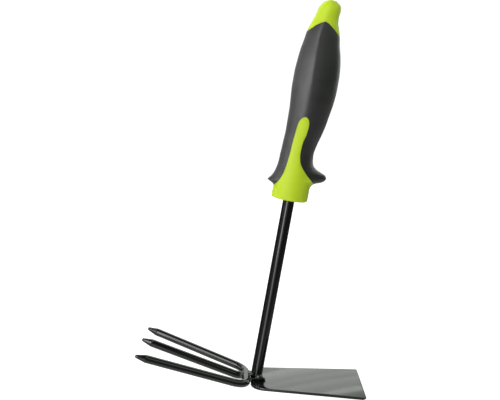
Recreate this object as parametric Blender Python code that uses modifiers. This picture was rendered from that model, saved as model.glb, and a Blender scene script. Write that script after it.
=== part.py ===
"""Hand cultivator with a flat hoe blade on one side and three tines on the other.

The tool stands on the sole of its hoe blade: Z = 0 is the sole, Y = 0 is the middle plane,
+X runs from the foot of the shaft towards the cutting edge and -X towards the tine tips.
The shaft, the handle core and the grip are modelled upright about the shaft axis and then
leaned over by one rotation about Y.
"""
import math

import bmesh
import bpy
from mathutils import Matrix, Vector

MM = 0.001
COLLECTION = "hand_cultivator"
CUTTER_COLLECTION = "cutters"
GAP = 0.3 * MM                       # clearance left between neighbouring pieces

# Shaft: a straight steel tube leaning towards the blade
SHAFT_LEAN = math.radians(7.0)
TUBE_RADIUS = 4.75 * MM
TUBE_WALL = 1.2 * MM
TUBE_FOOT = 2.9 * MM
TUBE_TOP = 236.0 * MM
TUBE_STEPS = 32

# Hoe blade: a flat trapezoidal plate
BLADE_THICKNESS = 2.2 * MM
BLADE_ROOT_X = -3.9 * MM
BLADE_EDGE_X = 89.0 * MM
BLADE_HALF_WIDTH_AT_SHAFT = 24.6 * MM
BLADE_FLARE = 0.100                  # half width gained per unit of length
BLADE_OFF_CENTRE = 0.5 * MM          # the blade is welded on a little to the far side
BLADE_ROOT_CORNER = 12.5 * MM
BLADE_EDGE_CORNER = 1.6 * MM
CUTTING_BEVEL_LENGTH = 2.6 * MM
CUTTING_EDGE_THICKNESS = 0.8 * MM

# Tines: round bar, the outer two bent by hand from one length, so its two bends differ a little
TINE_RADIUS = 3.25 * MM
FORK_CORNERS = (
    (-96.5, -37.6, 27.9),
    (-15.1, -21.3, 4.0),
    (-7.6, -18.6, 3.3),
    (-9.2, 16.0, 3.3),
    (-96.5, 37.0, 27.9),
)
FORK_BENDS = (30.0, 6.0, 12.0)
CENTRE_CORNERS = (
    (-12.05, 0.0, 3.5),
    (-16.0, 0.0, 3.5),
    (-96.5, 0.0, 29.6),
)
CENTRE_BEND = 12.0
POINT_LENGTH = 8.6 * MM
TIP_RADIUS = 1.3 * MM

# Handle sections, from the collar rim upwards, in millimetres along and across the shaft axis:
# height, body reach towards the tines, body reach towards the blade, middle, half depth,
# side crease, extra reach of the hilt fins towards the tines and towards the blade
HANDLE_SECTIONS = (
    (155.4, -13.3, 13.3, 0.0, 11.9, 0.00, 0.0, 0.0),
    (155.8, -14.3, 14.2, 0.0, 12.7, 0.00, 0.0, 0.0),
    (156.8, -14.8, 14.8, 0.0, 13.1, 0.00, 0.0, 0.0),
    (160.5, -14.8, 14.9, 0.0, 13.2, 0.00, 0.0, 0.0),
    (164.4, -14.5, 14.9, 0.0, 13.2, 0.00, 0.0, 0.0),
    (165.9, -14.5, 14.8, 0.0, 13.2, 0.00, -0.8, 0.0),
    (167.5, -14.4, 14.8, 0.0, 13.1, 0.00, -3.4, 0.2),
    (169.0, -14.3, 14.7, 0.0, 13.1, 0.00, -5.9, 0.9),
    (170.4, -14.3, 14.6, 0.0, 13.0, 0.00, -5.0, 2.1),
    (171.8, -14.2, 14.5, 0.0, 13.0, 0.00, -3.9, 4.5),
    (173.1, -14.2, 14.4, 0.0, 13.0, 0.00, -3.0, 8.3),
    (174.9, -14.1, 14.3, 0.0, 12.9, 0.00, -2.2, 11.2),
    (177.2, -14.0, 14.1, 0.0, 12.8, 0.00, -1.5, 12.5),
    (179.4, -13.9, 13.9, 0.0, 12.7, 0.00, -1.0, 11.5),
    (181.2, -13.9, 13.7, 0.0, 12.6, 0.00, -0.6, 8.2),
    (183.2, -13.8, 13.5, 0.0, 12.5, 0.00, -0.4, 4.0),
    (186.2, -13.8, 13.2, 0.0, 12.3, 0.00, -0.1, 1.2),
    (190.0, -13.8, 13.0, 0.0, 12.1, 0.00, 0.0, 0.3),
    (195.0, -13.5, 12.9, 0.0, 12.0, 0.00, 0.0, 0.0),
    (202.0, -13.2, 14.1, 0.4, 12.2, 0.00, 0.0, 0.0),
    (210.0, -12.8, 16.2, 1.3, 12.7, 0.00, 0.0, 0.0),
    (218.0, -12.9, 18.1, 1.6, 13.3, 0.00, 0.0, 0.0),
    (228.0, -13.1, 19.7, 1.5, 14.0, 0.04, 0.0, 0.0),
    (238.0, -13.8, 21.2, 1.3, 14.6, 0.12, 0.0, 0.0),
    (248.0, -14.4, 21.8, 1.1, 14.9, 0.22, 0.0, 0.0),
    (257.0, -14.4, 21.7, 0.7, 14.8, 0.30, 0.0, 0.0),
    (266.0, -13.8, 21.0, 0.3, 14.3, 0.37, 0.0, 0.0),
    (275.0, -12.9, 19.4, 0.1, 13.3, 0.42, 0.0, 0.0),
    (283.0, -11.5, 17.3, 0.1, 12.2, 0.44, 0.0, 0.0),
    (290.0, -10.4, 16.0, 0.5, 11.2, 0.42, 0.0, 0.0),
    (296.0, -8.6, 14.1, 1.3, 10.2, 0.32, 0.0, 0.0),
    (300.5, -7.0, 12.8, 2.4, 9.4, 0.12, 0.0, 0.0),
    (305.0, -5.6, 12.6, 3.2, 8.9, 0.00, 0.0, 0.0),
    (309.0, -4.6, 13.1, 3.9, 8.7, 0.00, 0.0, 0.0),
    (312.0, -3.3, 12.9, 4.3, 8.1, 0.00, 0.0, 0.0),
    (314.5, -1.4, 11.4, 4.6, 6.6, 0.00, 0.0, 0.0),
    (316.1, 1.0, 8.8, 4.7, 4.3, 0.00, 0.0, 0.0),
    (316.8, 3.0, 6.5, 4.8, 1.9, 0.00, 0.0, 0.0),
)
HANDLE_SIDES = 40
CREASE_SOFTNESS = 0.3                # share of the reach over which the side crease is rounded
BLADE_SIDE_FULLNESS = 1.8            # how far the crease squares up the half towards the blade

# Inner body of the handle core, hidden under the grip
INNER_SECTIONS = (
    (160.0, -11.0, 11.0, 0.0, 9.6, 0.00, 0.0, 0.0),
    (176.0, -10.8, 10.8, 0.0, 9.4, 0.00, 0.0, 0.0),
    (195.0, -10.0, 9.6, 0.0, 9.0, 0.00, 0.0, 0.0),
    (215.0, -9.4, 13.0, 1.8, 9.6, 0.00, 0.0, 0.0),
    (238.0, -10.2, 17.3, 3.3, 11.0, 0.00, 0.0, 0.0),
    (257.0, -10.8, 17.8, 3.0, 11.4, 0.05, 0.0, 0.0),
    (275.0, -9.6, 15.8, 2.2, 10.2, 0.10, 0.0, 0.0),
    (290.0, -7.4, 12.8, 1.8, 8.3, 0.10, 0.0, 0.0),
    (303.0, -3.6, 9.6, 2.8, 6.2, 0.00, 0.0, 0.0),
)
INNER_SIDES = 32
SOCKET_DEPTH = TUBE_TOP + 2.0 * MM

# Side outline of the green tongue, from its base on the tine side round the tip to the blade side
TONGUE_OUTLINE = (
    (-24.0, 160.0),
    (-16.2, 164.6),
    (-14.3, 165.9),
    (-11.4, 169.9),
    (-9.15, 175.5),
    (-7.6, 183.0),
    (-6.6, 192.0),
    (-5.95, 202.0),
    (-5.0, 213.0),
    (-4.3, 218.2),
    (-2.4, 221.9),
    (0.4, 223.4),
    (3.1, 221.6),
    (4.15, 217.3),
    (3.6, 210.0),
    (2.1, 203.5),
    (1.6, 197.0),
    (2.0, 191.0),
    (4.0, 185.0),
    (9.6, 178.3),
    (13.4, 174.8),
    (17.1, 171.4),
    (21.0, 167.0),
    (30.0, 160.0),
)

# Side outline of the notched upper end of the grip, below the pommel
POMMEL_OUTLINE = (
    (30.0, 276.0),
    (16.6, 288.4),
    (11.7, 292.8),
    (5.9, 297.2),
    (2.2, 298.9),
    (-3.0, 296.2),
    (-10.5, 289.6),
    (-26.0, 276.0),
)

# Weld beads: centre line points and bead radius at each, in millimetres
FOOT_BEAD = (
    (-2.4, -5.3, 3.1, 0.9),
    (0.4, -5.8, 3.2, 1.3),
    (2.6, -5.6, 3.8, 1.9),
    (4.3, -5.1, 4.1, 2.5),
    (6.0, -3.9, 3.2, 1.5),
    (6.3, -1.4, 3.0, 1.2),
    (5.9, 1.8, 3.0, 1.2),
    (4.2, 4.4, 3.0, 1.2),
    (1.0, 5.9, 3.0, 1.2),
    (-2.4, 5.2, 3.0, 0.9),
)
FORK_BEAD = (
    (-2.6, -5.2, 6.4, 0.8),
    (-4.6, -4.6, 5.6, 1.6),
    (-6.0, -2.2, 5.4, 1.9),
    (-5.8, 0.6, 5.2, 1.8),
    (-5.6, 3.4, 4.9, 1.0),
)
SEAM_BEAD = (
    (-4.7, 6.4, 2.9, 0.8),
    (-4.5, 8.0, 3.2, 1.4),
    (-4.7, 9.8, 3.0, 1.2),
    (-4.8, 11.2, 2.9, 0.7),
)
TINE_BEAD = (
    (-11.0, -4.0, 1.8, 0.8),
    (-11.0, -3.6, 3.4, 1.4),
    (-11.0, -2.4, 5.2, 1.5),
    (-11.0, 0.2, 6.3, 1.4),
    (-11.0, 2.4, 5.2, 1.3),
    (-11.0, 3.7, 3.2, 1.0),
)


def clear_scene():
    for item in list(bpy.data.objects):
        bpy.data.objects.remove(item, do_unlink=True)


def make_collection(name):
    group = bpy.data.collections.new(name)
    bpy.context.scene.collection.children.link(group)
    return group


def make_material(name, colour, roughness, metallic=0.0):
    material = bpy.data.materials.new(name)
    material.use_nodes = True
    shader = material.node_tree.nodes["Principled BSDF"]
    shader.inputs["Base Color"].default_value = (*colour, 1.0)
    shader.inputs["Roughness"].default_value = roughness
    shader.inputs["Metallic"].default_value = metallic
    return material


def add_object(name, mesh, group, material=None, smooth=True):
    """Link a mesh as one named object."""
    item = bpy.data.objects.new(name, mesh)
    group.objects.link(item)
    if material is not None:
        mesh.materials.append(material)
    for face in mesh.polygons:
        face.use_smooth = smooth
    return item


def add_cutter(name, mesh, group):
    item = add_object(name, mesh, group)
    item.hide_render = True
    item.display_type = "WIRE"
    return item


def mesh_from(name, points, faces):
    """Make a mesh whose normals all face outwards."""
    mesh = bpy.data.meshes.new(name)
    mesh.from_pydata(points, [], faces)
    work = bmesh.new()
    work.from_mesh(mesh)
    bmesh.ops.recalc_face_normals(work, faces=work.faces)
    work.to_mesh(mesh)
    work.free()
    return mesh


def loft(name, rings):
    """Skin closed rings of equal length and close both ends."""
    count = len(rings[0])
    points = [point for ring in rings for point in ring]
    faces = [tuple(reversed(range(count)))]
    for row in range(len(rings) - 1):
        low = row * count
        high = low + count
        for step in range(count):
            following = (step + 1) % count
            faces.append((low + step, low + following, high + following, high + step))
    last = (len(rings) - 1) * count
    faces.append(tuple(range(last, last + count)))
    return mesh_from(name, points, faces)


def section_ring(section, sides, grow=0.0):
    """One cross-section: a creased half to the tines, a full half to the blade, a fin at each end."""
    height, back, front, middle, depth, crease, back_fin, front_fin = section
    blend = math.hypot(1.0, CREASE_SOFTNESS) - CREASE_SOFTNESS
    power = 2.0 + BLADE_SIDE_FULLNESS * crease
    ring = []
    for step in range(sides):
        angle = 2.0 * math.pi * step / sides
        across = math.cos(angle)
        side = math.sin(angle)
        if across > 0.0:
            reach = front - middle
            fin = front_fin * across**6
            swell = (1.0 - across**power) ** (1.0 / power)
        else:
            reach = middle - back
            fin = back_fin * across**6
            fold = (math.hypot(across, CREASE_SOFTNESS) - CREASE_SOFTNESS) / blend
            swell = (1.0 - crease) * abs(side) + crease * (1.0 - fold)
        x = (middle + fin) * MM + across * (reach * MM + grow)
        y = math.copysign(swell, side) * (depth * MM + grow)
        ring.append((x, y, height * MM))
    return ring


def section_loft(name, sections, sides, grow=0.0):
    return loft(name, [section_ring(section, sides, grow) for section in sections])


def offset_outline(outline, distance):
    """Move an open outline sideways, to the left of its direction of travel."""
    moved = []
    for index, point in enumerate(outline):
        before = Vector(outline[max(index - 1, 0)])
        after = Vector(outline[min(index + 1, len(outline) - 1)])
        along = (after - before).normalized()
        moved.append(Vector(point) * MM + Vector((-along.y, along.x)) * distance)
    return moved


def side_prism(name, outline, closing, grow, reach=30.0 * MM):
    """Extrude a side outline through the handle; closing gives the corners that shut it."""
    corners = offset_outline(outline, grow) + [Vector(corner) * MM for corner in closing]
    near = [(corner.x, -reach, corner.y) for corner in corners]
    far = [(corner.x, reach, corner.y) for corner in corners]
    return loft(name, [near, far])


def cut(target, cutter, operation="DIFFERENCE"):
    modifier = target.modifiers.new(cutter.name, "BOOLEAN")
    modifier.object = cutter
    modifier.operation = operation
    modifier.solver = "EXACT"


def rounded_path(points, radii, steps=8):
    """Replace each inner corner of a path by an arc of the given radius."""
    path = [points[0]]
    for index in range(1, len(points) - 1):
        corner = points[index]
        incoming = (points[index - 1] - corner).normalized()
        outgoing = (points[index + 1] - corner).normalized()
        half = incoming.angle(outgoing) / 2.0
        radius = radii[index - 1]
        centre = corner + (incoming + outgoing).normalized() * radius / math.sin(half)
        start = corner + incoming * radius / math.tan(half) - centre
        end = corner + outgoing * radius / math.tan(half) - centre
        for step in range(steps + 1):
            spoke = start.lerp(end, step / steps).normalized() * radius
            path.append(centre + spoke)
    path.append(points[-1])
    return path


def bar_mesh(name, path, radii, resolution=2):
    """Sweep a round bar along a path, with its own radius at every point."""
    curve = bpy.data.curves.new(name, "CURVE")
    curve.dimensions = "3D"
    curve.bevel_depth = 1.0 * MM
    curve.bevel_resolution = resolution
    curve.use_fill_caps = True
    spline = curve.splines.new("POLY")
    spline.points.add(len(path) - 1)
    for knot, place, radius in zip(spline.points, path, radii):
        knot.co = (*place, 1.0)
        knot.radius = radius / MM
    item = bpy.data.objects.new(name, curve)
    bpy.context.scene.collection.objects.link(item)
    graph = bpy.context.evaluated_depsgraph_get()
    mesh = bpy.data.meshes.new_from_object(item.evaluated_get(graph))
    bpy.data.objects.remove(item, do_unlink=True)
    work = bmesh.new()
    work.from_mesh(mesh)
    bmesh.ops.remove_doubles(work, verts=work.verts, dist=0.005 * MM)
    bmesh.ops.recalc_face_normals(work, faces=work.faces)
    work.to_mesh(mesh)
    work.free()
    return mesh


def pointed_ends(path, ends):
    """Sharpen a bar to a blunt cone at the listed ends, 0 for the first and -1 for the last."""
    radii = [TINE_RADIUS] * len(path)
    for end in ends:
        inward = 1 if end == 0 else -2
        tip = path[end].copy()
        along = (path[inward] - tip).normalized()
        ring = [(0.0, 0.35), (0.5 * MM, 1.0)]
        cone = [(tip + along * back, TIP_RADIUS * share) for back, share in ring]
        shoulder = (tip + along * POINT_LENGTH, TINE_RADIUS)
        extra = cone + [shoulder]
        if end == -1:
            extra.reverse()
            path[-1:] = [place for place, radius in extra]
            radii[-1:] = [radius for place, radius in extra]
        else:
            path[:1] = [place for place, radius in extra]
            radii[:1] = [radius for place, radius in extra]
    return path, radii


def fork_mesh(name, grow=0.0):
    corners = [Vector(corner) * MM for corner in FORK_CORNERS]
    path = rounded_path(corners, [bend * MM for bend in FORK_BENDS], steps=7)
    path, radii = pointed_ends(path, (0, -1))
    return bar_mesh(name, path, [radius + grow for radius in radii])


def centre_tine_mesh(name, grow=0.0):
    corners = [Vector(corner) * MM for corner in CENTRE_CORNERS]
    path = rounded_path(corners, [CENTRE_BEND * MM], steps=4)
    path, radii = pointed_ends(path, (-1,))
    return bar_mesh(name, path, [radius + grow for radius in radii])


def blade_outline():
    """Plan of the blade, one corner arc after another."""
    def half_width(x):
        return BLADE_HALF_WIDTH_AT_SHAFT + BLADE_FLARE * x

    root = half_width(BLADE_ROOT_X)
    edge = half_width(BLADE_EDGE_X)
    corners = [
        (BLADE_ROOT_X, -root, BLADE_ROOT_CORNER),
        (BLADE_EDGE_X, -edge, BLADE_EDGE_CORNER),
        (BLADE_EDGE_X, edge, BLADE_EDGE_CORNER),
        (BLADE_ROOT_X, root, BLADE_ROOT_CORNER),
    ]
    middle = Vector((BLADE_ROOT_X, 0.0, 0.0))
    points = [middle] + [Vector((x, y, 0.0)) for x, y, radius in corners] + [middle]
    path = rounded_path(points, [radius for x, y, radius in corners], steps=6)
    return [point + Vector((0.0, BLADE_OFF_CENTRE, 0.0)) for point in path[1:-1]]


def build_blade(group, cutters, material):
    outline = [tuple(point) for point in blade_outline()]
    mesh = bpy.data.meshes.new("hoe_blade")
    mesh.from_pydata(outline, [], [tuple(range(len(outline)))])
    blade = add_object("hoe_blade", mesh, group, material, smooth=False)
    solidify = blade.modifiers.new("sheet", "SOLIDIFY")
    solidify.thickness = BLADE_THICKNESS
    solidify.offset = 1.0
    reach = 60.0 * MM
    rise = BLADE_THICKNESS - CUTTING_EDGE_THICKNESS
    start = BLADE_EDGE_X - CUTTING_BEVEL_LENGTH
    slope = rise / CUTTING_BEVEL_LENGTH
    wedge = [(start - 1.0 * MM, -1.0 * MM * slope), (start + 6.0 * MM, 6.0 * MM * slope),
             (start + 6.0 * MM, -4.0 * MM), (start - 1.0 * MM, -4.0 * MM)]
    near = [(x, -reach, z) for x, z in wedge]
    far = [(x, reach, z) for x, z in wedge]
    grinder = add_cutter("cutting_bevel_cutter", loft("cutting_bevel_cutter", [near, far]), cutters)
    cut(blade, grinder)
    return blade


def lean(item):
    item.rotation_euler = (0.0, SHAFT_LEAN, 0.0)


def build_tube(group, material):
    """The wall profile runs down the outer side and up the bore, then turns round the axis."""
    outer = TUBE_RADIUS
    inner = TUBE_RADIUS - TUBE_WALL
    soft = 0.3 * MM
    profile = [(outer - soft, TUBE_TOP), (outer, TUBE_TOP - soft), (outer, TUBE_FOOT),
               (inner, TUBE_FOOT), (inner, TUBE_TOP)]
    mesh = bpy.data.meshes.new("shaft_tube")
    edges = [(step, (step + 1) % len(profile)) for step in range(len(profile))]
    mesh.from_pydata([(x, 0.0, z) for x, z in profile], edges, [])
    tube = add_object("shaft_tube", mesh, group, material)
    screw = tube.modifiers.new("turn", "SCREW")
    screw.axis = "Z"
    screw.steps = TUBE_STEPS
    screw.render_steps = TUBE_STEPS
    screw.use_merge_vertices = True
    screw.merge_threshold = 0.00001
    screw.use_smooth_shade = True
    lean(tube)
    return tube


def build_handle(group, cutters, core_material, grip_material):
    """Cut the handle envelope into the hard core and the soft sleeve moulded over it."""
    below = ((40.0, 120.0), (-40.0, 120.0))
    above = ((-40.0, 340.0), (40.0, 340.0))
    blank = add_cutter("sleeve_blank", section_loft("sleeve_blank", HANDLE_SECTIONS,
                                                    HANDLE_SIDES, 1.0 * MM), cutters)
    inner = add_cutter("inner_body", section_loft("inner_body", INNER_SECTIONS,
                                                  INNER_SIDES), cutters)
    low = add_cutter("tongue_prism", side_prism("tongue_prism", TONGUE_OUTLINE, below, 0.0), cutters)
    high = add_cutter("pommel_prism", side_prism("pommel_prism", POMMEL_OUTLINE, above, 0.0), cutters)
    for cutter in (inner, low, high):
        cut(blank, cutter)

    core = add_object("handle_core", section_loft("handle_core", HANDLE_SECTIONS, HANDLE_SIDES),
                      group, core_material)
    cut(core, blank)
    socket = add_cutter("shaft_socket", socket_mesh(), cutters)
    cut(core, socket)

    grip = add_object("grip_sleeve", section_loft("grip_sleeve", HANDLE_SECTIONS, HANDLE_SIDES),
                      group, grip_material)
    inner_room = add_cutter("inner_room", section_loft("inner_room", INNER_SECTIONS,
                                                       INNER_SIDES, GAP), cutters)
    low_room = add_cutter("tongue_room", side_prism("tongue_room", TONGUE_OUTLINE, below, GAP), cutters)
    high_room = add_cutter("pommel_room", side_prism("pommel_room", POMMEL_OUTLINE, above, GAP), cutters)
    for cutter in (inner_room, low_room, high_room):
        cut(grip, cutter)
    for item in (blank, inner, low, high, socket, inner_room, low_room, high_room, core, grip):
        lean(item)
    return core, grip


def circle_ring(radius, height, sides=TUBE_STEPS):
    turns = [2.0 * math.pi * step / sides for step in range(sides)]
    return [(radius * math.cos(turn), radius * math.sin(turn), height) for turn in turns]


def socket_mesh():
    radius = TUBE_RADIUS + GAP
    return loft("shaft_socket", [circle_ring(radius, 150.0 * MM), circle_ring(radius, SOCKET_DEPTH)])


def build_welds(group, cutters, material):
    """Beads of weld metal, each trimmed back from the pieces that it joins."""
    shaft = loft("shaft_clearance", [circle_ring(TUBE_RADIUS + GAP, 1.0 * MM),
                                     circle_ring(TUBE_RADIUS + GAP, 60.0 * MM)])
    shaft_room = add_cutter("shaft_clearance", shaft, cutters)
    lean(shaft_room)
    fork_room = add_cutter("fork_clearance", fork_mesh("fork_clearance", GAP), cutters)
    tine_room = add_cutter("tine_clearance", centre_tine_mesh("tine_clearance", GAP), cutters)
    reach = 50.0 * MM
    slab = [[(-5.5 * MM, -reach, z), (reach, -reach, z), (reach, reach, z), (-5.5 * MM, reach, z)]
            for z in (-5.0 * MM, BLADE_THICKNESS + GAP)]
    blade_room = add_cutter("blade_clearance", loft("blade_clearance", slab), cutters)
    far_seam = [(x, -y, z, radius) for x, y, z, radius in SEAM_BEAD]
    beads = {
        "shaft_foot_weld": (FOOT_BEAD, (shaft_room, blade_room, fork_room)),
        "shaft_fork_weld": (FORK_BEAD, (shaft_room, fork_room)),
        "far_blade_weld": (SEAM_BEAD, (blade_room, fork_room)),
        "near_blade_weld": (far_seam, (blade_room, fork_room)),
        "centre_tine_weld": (TINE_BEAD, (tine_room, fork_room)),
    }
    made = []
    for name, (bead, rooms) in beads.items():
        path = [Vector(knot[:3]) * MM for knot in bead]
        mesh = bar_mesh(name, path, [knot[3] * MM for knot in bead])
        item = add_object(name, mesh, group, material)
        for room in rooms:
            cut(item, room)
        made.append(item)
    return made


def main():
    clear_scene()
    group = make_collection(COLLECTION)
    cutters = make_collection(CUTTER_COLLECTION)
    lime = make_material("lime_plastic", (0.42, 0.62, 0.03), 0.42)
    soft = make_material("soft_grip", (0.035, 0.036, 0.034), 0.62)
    paint = make_material("black_paint", (0.012, 0.013, 0.012), 0.25)
    blade_paint = make_material("blade_paint", (0.013, 0.014, 0.013), 0.22)
    weld = make_material("painted_weld", (0.016, 0.017, 0.016), 0.30)
    build_handle(group, cutters, lime, soft)
    build_tube(group, paint)
    build_blade(group, cutters, blade_paint)
    add_object("outer_tines", fork_mesh("outer_tines"), group, paint)
    add_object("centre_tine", centre_tine_mesh("centre_tine"), group, paint)
    build_welds(group, cutters, weld)


main()
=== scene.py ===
"""Looks of the hand cultivator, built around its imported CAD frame.

Z = 0 is the sole of the hoe blade and Y = 0 the middle plane of the tool. Lengths in the tables and
the named sizes are in millimetres unless the comment beside them says metres. The handle and the
shaft are drawn upright about the shaft's own axis and then leaned over.
"""
import math

import bmesh
import bpy
from mathutils import Matrix, Vector, noise


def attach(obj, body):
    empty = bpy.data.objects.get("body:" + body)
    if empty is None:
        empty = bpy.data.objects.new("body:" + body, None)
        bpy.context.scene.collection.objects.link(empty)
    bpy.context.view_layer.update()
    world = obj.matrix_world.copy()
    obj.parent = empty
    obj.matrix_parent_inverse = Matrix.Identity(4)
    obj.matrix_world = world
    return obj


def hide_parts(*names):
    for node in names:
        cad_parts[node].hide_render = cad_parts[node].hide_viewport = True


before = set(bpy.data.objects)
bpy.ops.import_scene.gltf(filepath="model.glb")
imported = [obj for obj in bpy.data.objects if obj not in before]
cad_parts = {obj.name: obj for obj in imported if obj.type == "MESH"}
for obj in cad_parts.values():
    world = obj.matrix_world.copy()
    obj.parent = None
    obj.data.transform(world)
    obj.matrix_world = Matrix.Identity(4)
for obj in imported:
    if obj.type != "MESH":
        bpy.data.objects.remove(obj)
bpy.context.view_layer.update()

MM = 0.001
SHAFT_LEAN = math.radians(7.0)
LEAN = Matrix.Rotation(SHAFT_LEAN, 4, "Y")

# Handle. The seam is the groove between the grip and the core, and the margin is how far the blank
# that is cut from the core stands out of the handle's skin; both are in metres. A crease runs up
# each side of the grip: its softness is the share of the reach over which it is rounded, and its
# fade closes it at the tine edge. The fullness squares up the half towards the blade as the crease
# deepens. A hilt fin grows with a high power of the way out, its sharpness, which keeps it thin.
SEAM = 0.06 * MM
BLANK_MARGIN = 1.5 * MM
BLANK_SIDES = 40
INNER_SIDES = 32
CREASE_SOFTNESS = 0.3
CREASE_SPAN = math.hypot(1.0, CREASE_SOFTNESS) - CREASE_SOFTNESS
CREASE_FADE = 8.0
BLADE_SIDE_FULLNESS = 1.8
FIN_SHARPNESS = 6
HANDLE_SHARP_ANGLE = 40
BELOW_HANDLE = ((40.0, 120.0), (-40.0, 120.0))
ABOVE_HANDLE = ((-40.0, 340.0), (40.0, 340.0))

HANDLE_SECTIONS = (
    # height, body reach to tines, body reach to blade, middle, half depth, side crease,
    # extra reach of the hilt fins to tines and to blade
    (155.4, -13.3, 13.3, 0.0, 11.9, 0.00, 0.0, 0.0),
    (155.8, -14.3, 14.2, 0.0, 12.7, 0.00, 0.0, 0.0),
    (156.8, -14.8, 14.8, 0.0, 13.1, 0.00, 0.0, 0.0),
    (160.5, -14.8, 14.9, 0.0, 13.2, 0.00, 0.0, 0.0),
    (164.4, -14.5, 14.9, 0.0, 13.2, 0.00, 0.0, 0.0),
    (165.9, -14.5, 14.8, 0.0, 13.2, 0.00, -0.8, 0.0),
    (167.5, -14.4, 14.8, 0.0, 13.1, 0.00, -3.4, 0.2),
    (169.0, -14.3, 14.7, 0.0, 13.1, 0.00, -5.9, 0.9),
    (170.4, -14.3, 14.6, 0.0, 13.0, 0.00, -5.0, 2.1),
    (171.8, -14.2, 14.5, 0.0, 13.0, 0.00, -3.9, 4.5),
    (173.1, -14.2, 14.4, 0.0, 13.0, 0.00, -3.0, 8.3),
    (174.9, -14.1, 14.3, 0.0, 12.9, 0.00, -2.2, 11.2),
    (177.2, -14.0, 14.1, 0.0, 12.8, 0.00, -1.5, 12.5),
    (179.4, -13.9, 13.9, 0.0, 12.7, 0.00, -1.0, 11.5),
    (181.2, -13.9, 13.7, 0.0, 12.6, 0.00, -0.6, 8.2),
    (183.2, -13.8, 13.5, 0.0, 12.5, 0.00, -0.4, 4.0),
    (186.2, -13.8, 13.2, 0.0, 12.3, 0.00, -0.1, 1.2),
    (190.0, -13.8, 13.0, 0.0, 12.1, 0.00, 0.0, 0.3),
    (195.0, -13.5, 12.9, 0.0, 12.0, 0.00, 0.0, 0.0),
    (202.0, -13.2, 14.1, 0.4, 12.2, 0.00, 0.0, 0.0),
    (210.0, -12.8, 16.2, 1.3, 12.7, 0.00, 0.0, 0.0),
    (218.0, -12.9, 18.1, 1.6, 13.3, 0.00, 0.0, 0.0),
    (228.0, -13.1, 19.7, 1.5, 14.0, 0.04, 0.0, 0.0),
    (238.0, -13.8, 21.2, 1.3, 14.6, 0.12, 0.0, 0.0),
    (248.0, -14.4, 21.8, 1.1, 14.9, 0.22, 0.0, 0.0),
    (257.0, -14.4, 21.7, 0.7, 14.8, 0.30, 0.0, 0.0),
    (266.0, -13.8, 21.0, 0.3, 14.3, 0.37, 0.0, 0.0),
    (275.0, -12.9, 19.4, 0.1, 13.3, 0.42, 0.0, 0.0),
    (283.0, -11.5, 17.3, 0.1, 12.2, 0.44, 0.0, 0.0),
    (290.0, -10.4, 16.0, 0.5, 11.2, 0.42, 0.0, 0.0),
    (296.0, -8.6, 14.1, 1.3, 10.2, 0.32, 0.0, 0.0),
    (300.5, -7.0, 12.8, 2.4, 9.4, 0.12, 0.0, 0.0),
    (305.0, -5.6, 12.6, 3.2, 8.9, 0.00, 0.0, 0.0),
    (309.0, -4.6, 13.1, 3.9, 8.7, 0.00, 0.0, 0.0),
    (312.0, -3.3, 12.9, 4.3, 8.1, 0.00, 0.0, 0.0),
    (314.5, -1.4, 11.4, 4.6, 6.6, 0.00, 0.0, 0.0),
    (316.1, 1.0, 8.8, 4.7, 4.3, 0.00, 0.0, 0.0),
    (316.8, 3.0, 6.5, 4.8, 1.9, 0.00, 0.0, 0.0),
    (316.95, 4.7, 4.9, 4.8, 0.1, 0.00, 0.0, 0.0),
)
# The core under the grip, in the same columns
INNER_SECTIONS = (
    (160.0, -11.0, 11.0, 0.0, 9.6, 0.00, 0.0, 0.0),
    (176.0, -10.8, 10.8, 0.0, 9.4, 0.00, 0.0, 0.0),
    (195.0, -10.0, 9.6, 0.0, 9.0, 0.00, 0.0, 0.0),
    (215.0, -9.4, 13.0, 1.8, 9.6, 0.00, 0.0, 0.0),
    (238.0, -10.2, 17.3, 3.3, 11.0, 0.00, 0.0, 0.0),
    (257.0, -10.8, 17.8, 3.0, 11.4, 0.05, 0.0, 0.0),
    (275.0, -9.6, 15.8, 2.2, 10.2, 0.10, 0.0, 0.0),
    (290.0, -7.4, 12.8, 1.8, 8.3, 0.10, 0.0, 0.0),
    (303.0, -3.6, 9.6, 2.8, 6.2, 0.00, 0.0, 0.0),
)
# Side outlines, as distance towards the blade and height
TONGUE_OUTLINE = (
    (-24.0, 160.0), (-16.2, 164.6), (-14.3, 165.9), (-11.4, 169.9), (-9.15, 175.5), (-7.6, 183.0),
    (-6.6, 192.0), (-5.95, 202.0), (-5.0, 213.0), (-4.3, 218.2), (-2.4, 221.9), (0.4, 223.4),
    (3.1, 221.6), (4.15, 217.3), (3.6, 210.0), (2.1, 203.5), (1.6, 197.0), (2.0, 191.0),
    (4.0, 185.0), (9.6, 178.3), (13.4, 174.8), (17.1, 171.4), (21.0, 167.0), (30.0, 160.0),
)
NOTCH_BLADE_SIDE = ((30.0, 276.0), (16.6, 288.4), (11.7, 292.8), (5.9, 297.2), (2.2, 298.9))
NOTCH_TINE_SIDE = ((2.2, 298.9), (-3.0, 296.2), (-10.5, 289.6), (-26.0, 276.0))

BLADE_THICKNESS = 2.2
BLADE_ROOT_X = -3.9
BLADE_EDGE_X = 89.0
BLADE_HALF_WIDTH_AT_SHAFT = 24.6
BLADE_FLARE = 0.100
BLADE_OFF_CENTRE = 0.5
BLADE_ROOT_CORNER = 12.5
BLADE_EDGE_CORNER = 1.6
BLADE_WORN_EDGE = 0.3
CUTTING_BEVEL_LENGTH = 2.6
CUTTING_BEVEL_DEPTH = 1.2

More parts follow.
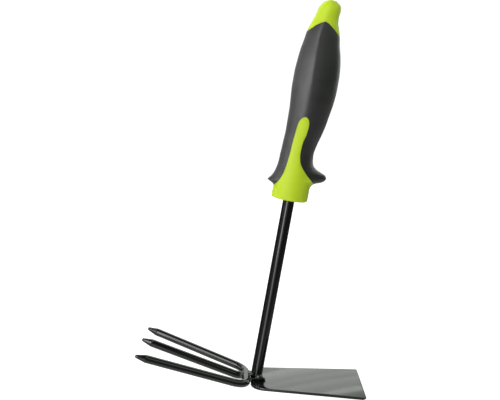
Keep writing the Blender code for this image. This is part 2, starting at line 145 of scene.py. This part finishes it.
TINE_RADIUS = 3.25
POINT_LENGTH = 8.6
TIP_RADIUS = 1.3
FORK_CORNERS = ((-96.5, -37.6, 27.9), (-15.1, -21.3, 4.0), (-7.6, -18.6, 3.3),
                (-9.2, 16.0, 3.3), (-96.5, 37.0, 27.9))
FORK_BENDS = (30.0, 6.0, 12.0)
CENTRE_CORNERS = ((-11.4, 0.0, 3.5), (-16.0, 0.0, 3.5), (-96.5, 0.0, 29.6))
CENTRE_BEND = 12.0
TIP_LENGTH = 0.6
# Distance from the very end, and share of the tip radius there
TIP_PROFILE = ((0.0, 0.05), (0.03, 0.35), (0.12, 0.62), (0.3, 0.86), (TIP_LENGTH, 1.0))

TUBE_RADIUS = 4.75
TUBE_WALL = 1.2
TUBE_TOP = 236.0
TUBE_ROUND = 0.3

# Cell size of the fused weld metal, and the height of its roughness
WELD_GRAIN = 0.22
# The lumps of each bead, as place and reach along x, y and z
WELDS = {
    "shaft_foot_weld": ((-2.0, -5.2, 2.6, 1.6, 1.1, 0.9), (0.9, -5.7, 2.8, 1.8, 1.4, 1.2),
                        (2.6, -5.6, 4.3, 3.0, 2.0, 2.5), (4.7, -5.0, 3.6, 1.8, 1.8, 1.9),
                        (0.4, -6.9, 4.0, 1.0, 1.0, 1.0),
                        (7.1, -4.3, 2.9, 1.2, 0.9, 0.8), (5.4, -1.6, 2.9, 1.2, 1.8, 1.1),
                        (5.1, 1.8, 2.9, 1.1, 1.8, 1.0), (3.6, 4.2, 2.9, 1.4, 1.4, 1.0),
                        (0.2, 5.4, 2.8, 1.9, 1.2, 1.0), (-2.6, 4.6, 2.8, 1.6, 1.2, 1.0)),
    "shaft_fork_weld": ((-5.9, -3.8, 4.4, 1.5, 1.8, 1.4), (-4.6, -4.3, 5.3, 1.5, 1.6, 1.4),
                        (-3.0, -4.7, 6.4, 1.5, 1.2, 1.2), (-5.7, -1.6, 5.3, 1.6, 2.0, 1.5),
                        (-5.6, 0.8, 4.9, 1.5, 2.0, 1.3), (-5.5, 3.0, 4.4, 1.4, 1.6, 1.2)),
    "near_blade_weld": ((-4.6, -6.4, 3.0, 1.6, 1.7, 1.3), (-4.5, -8.4, 3.1, 1.7, 1.7, 1.4),
                        (-4.6, -10.4, 2.8, 1.5, 1.6, 1.1)),
    "far_blade_weld": ((-4.8, 6.8, 3.0, 1.6, 1.8, 1.2), (-4.8, 8.6, 3.1, 1.7, 1.8, 1.3),
                       (-5.0, 10.6, 2.8, 1.5, 1.6, 1.1)),
    "centre_tine_weld": ((-11.0, -3.0, 3.2, 1.5, 1.2, 1.4), (-12.6, -2.7, 4.2, 1.1, 1.1, 1.1),
                         (-9.9, -3.6, 4.4, 1.2, 1.2, 1.1), (-11.0, -1.8, 5.2, 1.6, 1.6, 1.2),
                         (-10.9, 0.6, 5.8, 1.6, 1.7, 1.0), (-11.0, 2.6, 4.9, 1.4, 1.4, 1.2)),
}


# ---------------------------------------------------------------- shapes

def monotone_slopes(xs, ys):
    """Slopes for a cubic through the points that never overshoots them."""
    secants = [(ys[i + 1] - ys[i]) / (xs[i + 1] - xs[i]) for i in range(len(xs) - 1)]
    slopes = [secants[0]]
    for before, after in zip(secants[:-1], secants[1:]):
        slopes.append(0.0 if before * after <= 0.0 else 2.0 * before * after / (before + after))
    slopes.append(secants[-1])
    return slopes


def smooth_sections(sections, heights):
    """Sections at the given heights, on smooth curves through the ones in the table."""
    xs = [row[0] for row in sections]
    columns = list(zip(*sections))[1:]
    slopes = [monotone_slopes(xs, column) for column in columns]
    rows = []
    span = 0
    for height in heights:
        while span < len(xs) - 2 and height > xs[span + 1]:
            span += 1
        width = xs[span + 1] - xs[span]
        t = (height - xs[span]) / width
        row = [height]
        for column, slope in zip(columns, slopes):
            row.append((2 * t**3 - 3 * t**2 + 1) * column[span]
                       + (t**3 - 2 * t**2 + t) * width * slope[span]
                       + (3 * t**2 - 2 * t**3) * column[span + 1]
                       + (t**3 - t**2) * width * slope[span + 1])
        rows.append(row)
    return rows


def heights_in(bands):
    """Row heights from (start, stop, step) bands that follow on from each other."""
    heights = []
    for start, stop, step in bands:
        count = max(1, round((stop - start) / step))
        heights += [start + (stop - start) * i / count for i in range(count)]
    return heights + [bands[-1][1]]


def section_ring(section, sides, grow=0.0):
    """One cross-section: a creased half to the tines, a full half to the blade, a fin at each end."""
    height, back, front, middle, depth, crease, back_fin, front_fin = section
    ring = []
    for step in range(sides):
        angle = 2.0 * math.pi * step / sides
        across = math.cos(angle)
        side = math.sin(angle)
        reach = front - middle if across > 0.0 else middle - back
        if across < 0.0:
            fold = (math.hypot(across, CREASE_SOFTNESS) - CREASE_SOFTNESS) / CREASE_SPAN
            fade = min(1.0, abs(side) * CREASE_FADE)
            swell = (1.0 - crease) * abs(side) + crease * (1.0 - fold) * fade
        else:
            power = 2.0 + BLADE_SIDE_FULLNESS * crease
            swell = (1.0 - across**power) ** (1.0 / power)
        fin = (front_fin if across > 0.0 else back_fin) * across**FIN_SHARPNESS
        x = (middle + fin) * MM + across * (reach * MM + grow)
        y = math.copysign(swell, side) * (depth * MM + grow)
        ring.append((x, y, height * MM))
    return ring


def mesh_from(name, points, faces):
    mesh = bpy.data.meshes.new(name)
    mesh.from_pydata(points, [], faces)
    work = bmesh.new()
    work.from_mesh(mesh)
    bmesh.ops.recalc_face_normals(work, faces=work.faces)
    work.to_mesh(mesh)
    work.free()
    return mesh


def loft(name, rings):
    """Closed skin over a row of rings that have the same number of points."""
    count = len(rings[0])
    points = [point for ring in rings for point in ring]
    faces = [tuple(reversed(range(count)))]
    for row in range(len(rings) - 1):
        low = row * count
        high = low + count
        for step in range(count):
            following = (step + 1) % count
            faces.append((low + step, low + following, high + following, high + step))
    last = (len(rings) - 1) * count
    faces.append(tuple(range(last, last + count)))
    return mesh_from(name, points, faces)


def offset_outline(outline, distance):
    """Move an open outline sideways, to the left of its direction of travel."""
    moved = []
    for index, point in enumerate(outline):
        before = Vector(outline[max(index - 1, 0)])
        after = Vector(outline[min(index + 1, len(outline) - 1)])
        along = (after - before).normalized()
        moved.append(Vector(point) * MM + Vector((-along.y, along.x)) * distance)
    return moved


def smooth_outline(outline, steps=6):
    """Catmull-Rom curve through a side outline."""
    points = [Vector(point) for point in outline]
    points = [points[0] * 2 - points[1]] + points + [points[-1] * 2 - points[-2]]
    curve = []
    for a, b, c, d in zip(points, points[1:], points[2:], points[3:]):
        for step in range(steps):
            t = step / steps
            curve.append(0.5 * ((2 * b) + (c - a) * t + (2 * a - 5 * b + 4 * c - d) * t * t
                                + (3 * b - a - 3 * c + d) * t**3))
    curve.append(points[-2])
    return [tuple(point) for point in curve]


def side_prism(name, outline, closing, grow, reach=30.0 * MM):
    """Extrude a side outline through the handle; closing gives the corners that shut it."""
    corners = offset_outline(outline, grow) + [Vector(corner) * MM for corner in closing]
    near = [(corner.x, -reach, corner.y) for corner in corners]
    far = [(corner.x, reach, corner.y) for corner in corners]
    return loft(name, [near, far])


def rounded_path(points, radii, steps=16):
    """Replace each inner corner of a path by an arc of its own radius."""
    path = [points[0]]
    for index in range(1, len(points) - 1):
        corner = points[index]
        incoming = (points[index - 1] - corner).normalized()
        outgoing = (points[index + 1] - corner).normalized()
        half = incoming.angle(outgoing) / 2.0
        radius = radii[index - 1]
        centre = corner + (incoming + outgoing).normalized() * radius / math.sin(half)
        start = corner + incoming * radius / math.tan(half) - centre
        end = corner + outgoing * radius / math.tan(half) - centre
        for step in range(steps + 1):
            path.append(centre + start.lerp(end, step / steps).normalized() * radius)
    path.append(points[-1])
    return path


def sweep(name, path, radii, sides=40):
    """Round bar along a path, with its frames carried along so that it never twists."""
    rings = []
    side = Vector((0.0, 1.0, 0.0))
    for index, centre in enumerate(path):
        along = (path[min(index + 1, len(path) - 1)] - path[max(index - 1, 0)]).normalized()
        side = (side - along * side.dot(along)).normalized()
        up = along.cross(side)
        rings.append([centre + (side * math.cos(turn) + up * math.sin(turn)) * radii[index]
                      for turn in (2.0 * math.pi * step / sides for step in range(sides))])
    return loft(name, rings)


def pointed(path, radii, end):
    """Give one end of a bar its blunt cone. end is 0 for the first point and -1 for the last."""
    if end == -1:
        path.reverse()
        radii.reverse()
    tip = path[0]
    along = (path[1] - tip).normalized()
    slope = (TINE_RADIUS - TIP_RADIUS) / (POINT_LENGTH - TIP_LENGTH)
    profile = [(back, TIP_RADIUS * share) for back, share in TIP_PROFILE]
    profile += [(back, TIP_RADIUS + slope * (back - TIP_LENGTH))
                for back in (2.0, 4.0, 6.0, 8.0, POINT_LENGTH + 0.1)]
    profile += [(POINT_LENGTH + 0.15, TINE_RADIUS - 0.03), (POINT_LENGTH + 0.9, TINE_RADIUS)]
    path[:1] = [tip + along * back * MM for back, radius in profile]
    radii[:1] = [radius * MM for back, radius in profile]
    if end == -1:
        path.reverse()
        radii.reverse()


def new_object(name, mesh, smooth=True):
    item = bpy.data.objects.new(name, mesh)
    bpy.context.scene.collection.objects.link(item)
    for face in mesh.polygons:
        face.use_smooth = smooth
    return item


def cut(target, *cutters):
    for cutter in cutters:
        modifier = target.modifiers.new(cutter.name, "BOOLEAN")
        modifier.object = cutter
        modifier.operation = "DIFFERENCE"
        modifier.solver = "EXACT"


def settle(item, sharp_angle=None):
    """Replace an object's mesh by its evaluated one."""
    graph = bpy.context.evaluated_depsgraph_get()
    mesh = bpy.data.meshes.new_from_object(item.evaluated_get(graph))
    item.modifiers.clear()
    item.data = mesh
    for face in mesh.polygons:
        face.use_smooth = True
    if sharp_angle is not None:
        mesh.set_sharp_from_angle(angle=math.radians(sharp_angle))


def discard(*items):
    for item in items:
        bpy.data.objects.remove(item, do_unlink=True)


def lean(item):
    """Lean a mesh over with the shaft, leaving its object at the origin."""
    item.data.transform(LEAN)


# ---------------------------------------------------------------- materials

class Recipe:
    """Small helper round one node material."""

    def __init__(self, name):
        self.material = bpy.data.materials.new(name)
        self.material.use_nodes = True
        self.tree = self.material.node_tree
        self.shader = self.tree.nodes["Principled BSDF"]
        self.coordinates = self.tree.nodes.new("ShaderNodeTexCoord").outputs["Object"]

    def set(self, **values):
        """Set shader inputs by name, with an underscore for each space."""
        for key, value in values.items():
            self.shader.inputs[key.replace("_", " ")].default_value = value

    def link(self, source, target):
        self.tree.links.new(source, target)

    def noise(self, scale, detail):
        node = self.tree.nodes.new("ShaderNodeTexNoise")
        node.inputs["Scale"].default_value = scale
        node.inputs["Detail"].default_value = detail
        self.link(self.coordinates, node.inputs["Vector"])
        return node.outputs["Fac"]

    def cells(self, scale):
        node = self.tree.nodes.new("ShaderNodeTexVoronoi")
        node.inputs["Scale"].default_value = scale
        self.link(self.coordinates, node.inputs["Vector"])
        return node.outputs["Distance"]

    def remap(self, source, low, high, new_low, new_high):
        """Stretch the low to high part of a value over the new range."""
        node = self.tree.nodes.new("ShaderNodeMapRange")
        node.inputs["From Min"].default_value = low
        node.inputs["From Max"].default_value = high
        node.inputs["To Min"].default_value = new_low
        node.inputs["To Max"].default_value = new_high
        self.link(source, node.inputs["Value"])
        return node.outputs["Result"]

    def blend(self, factor, first, second):
        node = self.tree.nodes.new("ShaderNodeMix")
        node.data_type = "RGBA"
        self.link(factor, node.inputs["Factor"])
        colour_a = [s for s in node.inputs if s.name == "A" and s.type == "RGBA"][0]
        colour_b = [s for s in node.inputs if s.name == "B" and s.type == "RGBA"][0]
        colour_a.default_value = (*first, 1.0)
        colour_b.default_value = (*second, 1.0)
        return [s for s in node.outputs if s.type == "RGBA"][0]

    def bump(self, height, distance, strength=1.0, under=None):
        node = self.tree.nodes.new("ShaderNodeBump")
        node.inputs["Strength"].default_value = strength
        node.inputs["Distance"].default_value = distance
        self.link(height, node.inputs["Height"])
        if under is not None:
            self.link(under, node.inputs["Normal"])
        return node.outputs["Normal"]


def lime_plastic():
    """Satin plastic that light gets a little way into."""
    recipe = Recipe("lime_plastic_satin")
    tone = recipe.remap(recipe.noise(45.0, 3.0), 0.35, 0.65, 0.0, 1.0)
    colour = recipe.blend(tone, (0.370, 0.485, 0.018), (0.390, 0.505, 0.022))
    recipe.link(colour, recipe.shader.inputs["Base Color"])
    rough = recipe.remap(recipe.noise(160.0, 4.0), 0.3, 0.7, 0.36, 0.46)
    recipe.link(rough, recipe.shader.inputs["Roughness"])
    grain = recipe.bump(recipe.noise(2600.0, 2.0), 0.00003, 0.5)
    waves = recipe.bump(recipe.noise(55.0, 1.0), 0.00008, 0.5, grain)
    recipe.link(waves, recipe.shader.inputs["Normal"])
    recipe.set(IOR=1.49, Specular_IOR_Level=0.15, Subsurface_Weight=0.6, Subsurface_Scale=0.006,
               Subsurface_Radius=(1.0, 1.0, 0.4))
    return recipe.material


def soft_grip():
    """Dark soft-touch plastic with a fine grain."""
    recipe = Recipe("soft_grip_matte")
    tone = recipe.remap(recipe.noise(70.0, 4.0), 0.3, 0.7, 0.0, 1.0)
    colour = recipe.blend(tone, (0.0040, 0.0046, 0.0038), (0.0060, 0.0067, 0.0057))
    recipe.link(colour, recipe.shader.inputs["Base Color"])
    rough = recipe.remap(recipe.noise(120.0, 5.0), 0.3, 0.7, 0.38, 0.46)
    recipe.link(rough, recipe.shader.inputs["Roughness"])
    grain = recipe.bump(recipe.cells(2300.0), 0.00005, 0.6)
    recipe.link(recipe.bump(recipe.noise(420.0, 3.0), 0.00006, 0.35, grain),
                recipe.shader.inputs["Normal"])
    recipe.set(IOR=1.5, Sheen_Weight=0.08, Sheen_Roughness=0.5)
    return recipe.material


def black_paint(name):
    """Gloss paint with a faint orange peel."""
    recipe = Recipe(name)
    tone = recipe.remap(recipe.noise(60.0, 3.0), 0.3, 0.7, 0.0, 1.0)
    colour = recipe.blend(tone, (0.0010, 0.0014, 0.0010), (0.0018, 0.0022, 0.0018))
    recipe.link(colour, recipe.shader.inputs["Base Color"])
    rough = recipe.remap(recipe.noise(220.0, 5.0), 0.3, 0.7, 0.10, 0.16)
    recipe.link(rough, recipe.shader.inputs["Roughness"])
    peel = recipe.bump(recipe.noise(420.0, 2.0), 0.00004, 0.25)
    recipe.link(recipe.bump(recipe.noise(90.0, 1.0), 0.0001, 0.12, peel),
                recipe.shader.inputs["Normal"])
    recipe.set(IOR=1.5)
    return recipe.material


def weld_paint():
    """The same sort of paint, rougher and lumpy, as it lies on weld metal."""
    recipe = Recipe("painted_weld_metal")
    rough = recipe.remap(recipe.noise(500.0, 4.0), 0.3, 0.7, 0.16, 0.34)
    recipe.link(rough, recipe.shader.inputs["Roughness"])
    lumps = recipe.bump(recipe.noise(650.0, 3.0), 0.0003, 0.6)
    recipe.link(lumps, recipe.shader.inputs["Normal"])
    recipe.set(Base_Color=(0.012, 0.013, 0.012, 1.0), IOR=1.5)
    return recipe.material


# ---------------------------------------------------------------- the object

def build_handle(lime, grip_material):
    """Split one envelope into the lime core and the soft sleeve moulded over it."""
    sides = 112
    detail = 1.0
    heights = heights_in((
        (155.4, 157.4, 0.25 * detail), (157.4, 164.4, 1.0), (164.4, 188.0, 0.4 * detail),
        (188.0, 300.0, 1.2 * detail), (300.0, 312.0, 0.6 * detail),
        (312.0, 316.0, 0.3 * detail), (316.0, 316.95, 0.12)))
    envelope = smooth_sections(HANDLE_SECTIONS, heights)
    tongue = smooth_outline(TONGUE_OUTLINE)
    notch = smooth_outline(NOTCH_BLADE_SIDE)[:-1] + smooth_outline(NOTCH_TINE_SIDE)

    def body(name, sections, count, grow=0.0):
        return new_object(name, loft(name, [section_ring(row, count, grow) for row in sections]))

    def prism(name, outline, closing, grow):
        return new_object(name, side_prism(name, outline, closing, grow))

    blank = body("sleeve_blank", HANDLE_SECTIONS[:-1], BLANK_SIDES, BLANK_MARGIN)
    tools = [body("inner_body", INNER_SECTIONS, INNER_SIDES),
             prism("tongue_prism", tongue, BELOW_HANDLE, 0.0),
             prism("notch_prism", notch, ABOVE_HANDLE, 0.0)]
    cut(blank, *tools)
    settle(blank)
    core = body("handle_core_skin", envelope, sides)
    cut(core, blank)
    settle(core, HANDLE_SHARP_ANGLE)
    rooms = [body("inner_room", INNER_SECTIONS, INNER_SIDES, SEAM),
             prism("tongue_room", tongue, BELOW_HANDLE, SEAM),
             prism("notch_room", notch, ABOVE_HANDLE, SEAM)]
    grip = body("grip_sleeve_skin", envelope, sides)
    cut(grip, *rooms)
    settle(grip, HANDLE_SHARP_ANGLE)
    discard(blank, *tools, *rooms)
    for item, material, node, slot in ((core, lime, "handle_core", "lime_plastic"),
                                       (grip, grip_material, "grip_sleeve", "soft_grip")):
        lean(item)
        finish_piece(item, material, node)


def finish_piece(item, material, node):
    """Give a piece its material and put it in the place of its CAD node."""
    item.data.materials.clear()
    item.data.materials.append(material)
    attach(item, "root")
    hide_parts(node)


def build_tube(material):
    """Turn the tube's wall, up the outside and down the bore, round the shaft's axis."""
    foot = BLADE_THICKNESS
    shoulder = TUBE_TOP - TUBE_ROUND
    bore = TUBE_RADIUS - TUBE_WALL
    rows = [(TUBE_RADIUS, height) for height in (foot, 30.0, 60.0, 100.0, 150.0, 200.0, shoulder)]
    rows += [(TUBE_RADIUS - TUBE_ROUND, TUBE_TOP), (bore + TUBE_ROUND, TUBE_TOP), (bore, shoulder),
             (bore, foot)]
    sides = 72
    points = []
    faces = []
    for radius, height in rows:
        for step in range(sides):
            turn = 2.0 * math.pi * step / sides
            points.append((radius * math.cos(turn) * MM, radius * math.sin(turn) * MM, height * MM))
    for row in range(len(rows)):
        below = row * sides
        above = (row + 1) % len(rows) * sides
        for step in range(sides):
            following = (step + 1) % sides
            faces.append((below + step, below + following, above + following, above + step))
    tube = new_object("shaft_tube_skin", mesh_from("shaft_tube_skin", points, faces))
    tube.data.set_sharp_from_angle(angle=math.radians(40))
    lean(tube)
    finish_piece(tube, material, "shaft_tube")


def build_blade(material):
    """Trapezoid plate with round root corners, and an edge ground on the underside."""
    def half_width(x):
        return BLADE_HALF_WIDTH_AT_SHAFT + BLADE_FLARE * x

    corners = [(BLADE_ROOT_X, -half_width(BLADE_ROOT_X), BLADE_ROOT_CORNER),
               (BLADE_EDGE_X, -half_width(BLADE_EDGE_X), BLADE_EDGE_CORNER),
               (BLADE_EDGE_X, half_width(BLADE_EDGE_X), BLADE_EDGE_CORNER),
               (BLADE_ROOT_X, half_width(BLADE_ROOT_X), BLADE_ROOT_CORNER)]
    middle = Vector((BLADE_ROOT_X, 0.0, 0.0))
    points = [middle] + [Vector((x, y, 0.0)) for x, y, radius in corners] + [middle]
    points = [point + Vector((0.0, BLADE_OFF_CENTRE, 0.0)) for point in points]
    path = rounded_path(points, [radius for x, y, radius in corners], steps=14)[1:-1]
    rings = [[(point.x * MM, point.y * MM, z * MM) for point in path] for z in (0.0, BLADE_THICKNESS)]
    blade = new_object("hoe_blade_skin", loft("hoe_blade_skin", rings))
    start = BLADE_EDGE_X - CUTTING_BEVEL_LENGTH
    slope = CUTTING_BEVEL_DEPTH / CUTTING_BEVEL_LENGTH
    wedge = [(start - 1.0, -slope), (start + 6.0, 6.0 * slope), (start + 6.0, -4.0), (start - 1.0, -4.0)]
    grinder = new_object("grinder", loft("grinder", [[(x * MM, y * MM, z * MM) for x, z in wedge]
                                                     for y in (-60.0, 60.0)]))
    cut(blade, grinder)
    bevel = blade.modifiers.new("worn_edges", "BEVEL")
    bevel.width = BLADE_WORN_EDGE * MM
    bevel.segments = 3
    bevel.limit_method = "ANGLE"
    bevel.angle_limit = math.radians(30)
    bevel.harden_normals = True
    settle(blade, 60)
    discard(grinder)
    finish_piece(blade, material, "hoe_blade")


def build_tines(material):
    """The two outer tines are one bent bar; the centre tine is a bar of its own."""
    corners = [Vector(corner) * MM for corner in FORK_CORNERS]
    path = rounded_path(corners, [radius * MM for radius in FORK_BENDS])
    radii = [TINE_RADIUS * MM] * len(path)
    pointed(path, radii, 0)
    pointed(path, radii, -1)
    fork = new_object("outer_tines_skin", sweep("outer_tines_skin", path, radii))
    finish_piece(fork, material, "outer_tines")
    corners = [Vector(corner) * MM for corner in CENTRE_CORNERS]
    path = rounded_path(corners, [CENTRE_BEND * MM])
    radii = [TINE_RADIUS * MM] * len(path)
    pointed(path, radii, -1)
    centre = new_object("centre_tine_skin", sweep("centre_tine_skin", path, radii))
    finish_piece(centre, material, "centre_tine")


def build_welds(material):
    """Fuse each bead's lumps into one skin, then roughen it."""
    lumps_per_metre = 420.0
    for index, (name, lumps) in enumerate(WELDS.items()):
        work = bmesh.new()
        for x, y, z, reach_x, reach_y, reach_z in lumps:
            shape = (Matrix.Translation((x * MM, y * MM, z * MM))
                     @ Matrix.Diagonal((reach_x * MM, reach_y * MM, reach_z * MM, 1.0)))
            bmesh.ops.create_icosphere(work, subdivisions=3, radius=1.0, matrix=shape)
        mesh = bpy.data.meshes.new(name + "_skin")
        work.to_mesh(mesh)
        work.free()
        bead = new_object(name + "_skin", mesh)
        remesh = bead.modifiers.new("fuse", "REMESH")
        remesh.mode = "VOXEL"
        remesh.voxel_size = WELD_GRAIN * MM
        soften = bead.modifiers.new("soften", "SMOOTH")
        soften.factor = 0.6
        soften.iterations = 6
        settle(bead)
        for vertex in bead.data.vertices:
            seed = vertex.co * lumps_per_metre + Vector((index * 7.0, 0.0, 0.0))
            vertex.co += vertex.normal * noise.noise(seed) * WELD_GRAIN * MM
        finish_piece(bead, material, name)


# ---------------------------------------------------------------- stage, light and camera

def build_stage():
    """Floor that is plain white to the camera, casts no shadow and is missing from reflections."""
    floor_mesh = bpy.data.meshes.new("floor")
    reach = 3.0
    floor_mesh.from_pydata([(-reach, -reach, 0.0), (reach, -reach, 0.0), (reach, reach, 0.0),
                            (-reach, reach, 0.0)], [], [(0, 1, 2, 3)])
    floor = new_object("floor", floor_mesh, smooth=False)
    recipe = Recipe("floor_white")
    recipe.set(Base_Color=(0.3, 0.3, 0.3, 1.0), Roughness=0.9, Specular_IOR_Level=0.0,
               Emission_Color=(1.0, 1.0, 1.0, 1.0))
    light_path = recipe.tree.nodes.new("ShaderNodeLightPath")
    recipe.link(light_path.outputs["Is Camera Ray"], recipe.shader.inputs["Emission Strength"])
    floor_mesh.materials.append(recipe.material)
    floor.visible_glossy = False
    floor.visible_shadow = False


# Grey of the surroundings in reflections, by height from -1 straight down to 1 straight up: a pale
# table, a dark ring at the horizon and just under it, a dim wall and a nearly dark ceiling
WORLD_BANDS = ((-1.0, 0.95), (-0.50, 0.95), (-0.34, 0.16), (-0.25, 0.09), (-0.02, 0.09),
               (0.10, 0.26), (0.25, 0.26), (0.35, 0.14), (0.60, 0.14), (0.75, 0.03))
BACKDROP_STRENGTH = 1.05


def build_world():
    """White to the camera, and the grey bands to everything else."""
    world = bpy.data.worlds.new("studio")
    bpy.context.scene.world = world
    world.use_nodes = True
    tree = world.node_tree
    tree.nodes.clear()
    coordinates = tree.nodes.new("ShaderNodeTexCoord")
    split = tree.nodes.new("ShaderNodeSeparateXYZ")
    tree.links.new(coordinates.outputs["Generated"], split.inputs["Vector"])
    height = tree.nodes.new("ShaderNodeMapRange")
    height.inputs["From Min"].default_value = -1.0
    tree.links.new(split.outputs["Z"], height.inputs["Value"])
    bands = tree.nodes.new("ShaderNodeValToRGB")
    tree.links.new(height.outputs["Result"], bands.inputs["Fac"])
    ramp = bands.color_ramp
    ramp.interpolation = "EASE"
    while len(ramp.elements) < len(WORLD_BANDS):
        ramp.elements.new(0.5)
    for element, (level, grey) in zip(ramp.elements, WORLD_BANDS):
        element.position = (level + 1.0) / 2.0
        element.color = (grey, grey, grey, 1.0)
    light = tree.nodes.new("ShaderNodeBackground")
    tree.links.new(bands.outputs["Color"], light.inputs["Color"])
    backdrop = tree.nodes.new("ShaderNodeBackground")
    backdrop.inputs["Color"].default_value = (1.0, 1.0, 1.0, 1.0)
    backdrop.inputs["Strength"].default_value = BACKDROP_STRENGTH
    path = tree.nodes.new("ShaderNodeLightPath")
    mix = tree.nodes.new("ShaderNodeMixShader")
    output = tree.nodes.new("ShaderNodeOutputWorld")
    tree.links.new(path.outputs["Is Camera Ray"], mix.inputs["Fac"])
    tree.links.new(light.outputs["Background"], mix.inputs[1])
    tree.links.new(backdrop.outputs["Background"], mix.inputs[2])
    tree.links.new(mix.outputs["Shader"], output.inputs["Surface"])


# Name; azimuth, elevation, width and height in degrees; radiance; and colour when it is not white
SOFTBOXES = (
    ("key", -27.5, 15, 30, 28, 6.2),
    ("key_wing", -60.5, 15, 36, 28, 4.6),
    ("left", -90, 15, 22, 28, 1.75),
    ("left_rear", -122, 16, 46, 28, 0.83),
    ("left_back_high", -140, 42, 30, 26, 2.7, (0.92, 1.0, 0.90)),
    ("left_top", -100, 66, 30, 22, 1.1),
    ("front_high", -20, 42, 20, 24, 4.4),
    ("front_middle", -29, -4, 20, 12, 6.0),
    ("front_low", -21, -17.5, 24, 15, 2.6),
    ("front_low_left", -58, -12, 40, 26, 0.22),
    ("front_low_right", 0, -12, 16, 26, 0.55),
    ("right_high", 55, 42, 50, 26, 1.35, (0.84, 1.0, 0.86)),
    ("right_rear_high", 110, 42, 22, 26, 2.5, (0.84, 1.0, 0.86)),
    ("right_back_high", 140, 42, 30, 26, 1.5),
    ("right_rear", 122, 12, 34, 32, 1.5, (0.9, 1.0, 0.9)),
    ("right_back", 153, 16, 10, 28, 0.65),
    ("backdrop_low", 175, 1, 50, 14, 0.78, (0.97, 1.0, 0.955)),
    ("backdrop", 175, 12, 50, 8, 1.12, (0.97, 1.0, 0.955)),
    ("backdrop_high", 175, 25, 50, 18, 1.7, (0.97, 1.0, 0.955)),
    ("back_high", 180, 42, 30, 26, 1.4, (0.92, 1.0, 0.90)),
    ("back_top", 170, 66, 30, 22, 0.87, (0.92, 1.0, 0.90)),
)
# In metres; the softboxes stand round the middle of the tool
SOFTBOX_DISTANCE = 1.4
TOOL_MIDDLE = Vector((0.0, 0.0, 0.15))


def softbox(name, azimuth, elevation, width, height, radiance, colour=(1.0, 1.0, 1.0)):
    """Rectangular light seen from the tool at these angles; azimuth 0 is the -Y side."""
    around, above = math.radians(azimuth), math.radians(elevation)
    toward = Vector((math.sin(around) * math.cos(above), -math.cos(around) * math.cos(above),
                     math.sin(above)))
    data = bpy.data.lights.new(name, "AREA")
    data.shape = "RECTANGLE"
    data.size = 2.0 * SOFTBOX_DISTANCE * math.tan(math.radians(width / 2.0))
    data.size_y = 2.0 * SOFTBOX_DISTANCE * math.tan(math.radians(height / 2.0))
    data.energy = radiance * math.pi * data.size * data.size_y
    data.color = colour
    item = bpy.data.objects.new(name, data)
    bpy.context.scene.collection.objects.link(item)
    item.location = TOOL_MIDDLE + toward * SOFTBOX_DISTANCE
    item.rotation_euler = (-toward).to_track_quat("-Z", "Y").to_euler()
    item.visible_camera = False


def build_lights():
    for box in SOFTBOXES:
        softbox(*box)


# Camera: place in metres; yaw, pitch down and roll in degrees; focal length in millimetres
CAMERA_PLACE = (-0.0099, -0.6456, 0.2402)
CAMERA_TURN = (-0.25, 7.79, 3.09)
FOCAL_LENGTH = 57.6


def build_camera():
    """Look along +Y, a little downwards, rolled by a few degrees."""
    yaw, pitch, roll = (math.radians(angle) for angle in CAMERA_TURN)
    forward = Vector((math.sin(yaw) * math.cos(pitch), math.cos(yaw) * math.cos(pitch),
                      -math.sin(pitch)))
    right = Vector((math.cos(yaw), -math.sin(yaw), 0.0))
    up = right.cross(forward)
    across = math.cos(roll) * right + math.sin(roll) * up
    above = math.cos(roll) * up - math.sin(roll) * right
    turn = Matrix((across, above, -forward)).transposed().to_4x4()
    data = bpy.data.cameras.new("camera")
    data.lens = FOCAL_LENGTH
    data.sensor_width = 36.0
    data.clip_start = 0.01
    data.clip_end = 20.0
    camera = bpy.data.objects.new("camera", data)
    bpy.context.scene.collection.objects.link(camera)
    camera.matrix_world = Matrix.Translation(CAMERA_PLACE) @ turn
    bpy.context.scene.camera = camera


bpy.context.scene.view_settings.view_transform = "Standard"
paint = black_paint("black_paint_gloss")
build_camera()
build_world()
build_lights()
build_stage()
build_handle(lime_plastic(), soft_grip())
build_tube(paint)
build_blade(black_paint("blade_paint_gloss"))
build_tines(paint)
build_welds(weld_paint())
